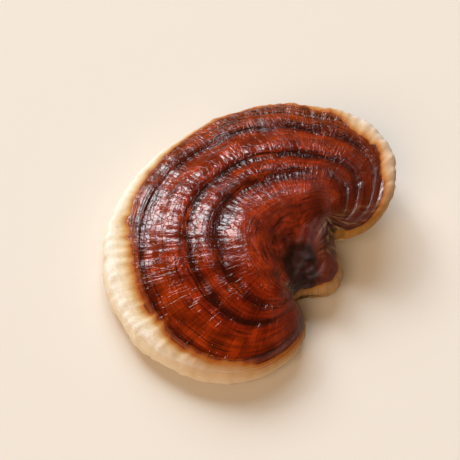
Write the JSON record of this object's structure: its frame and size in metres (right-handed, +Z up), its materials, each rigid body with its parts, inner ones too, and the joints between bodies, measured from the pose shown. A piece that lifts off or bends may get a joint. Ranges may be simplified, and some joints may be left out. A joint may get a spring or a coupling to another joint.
{
  "type": "dried reishi mushroom",
  "caption": "Dried bracket mushroom: a kidney-shaped, ringed cap with a rounded pale margin, grown as one piece with a short side stem that is cut flat underneath.",
  "frame": {"origin": "on the ground under the middle of the bounding box", "axes": "+X along the cap's longest width, from the low lobe to the lifted one; +Y from the stem to the front of the fan; +Z up, away from the pore side"},
  "size_m": [0.1561, 0.1193, 0.0301],
  "materials": {
    "lacquered_crust": "glossy lacquer-like crust on corky flesh, with a matt cream margin and pore side"
  },
  "bodies": {
    "root": {"mushroom": "lacquered_crust"}
  },
  "joints": []
}
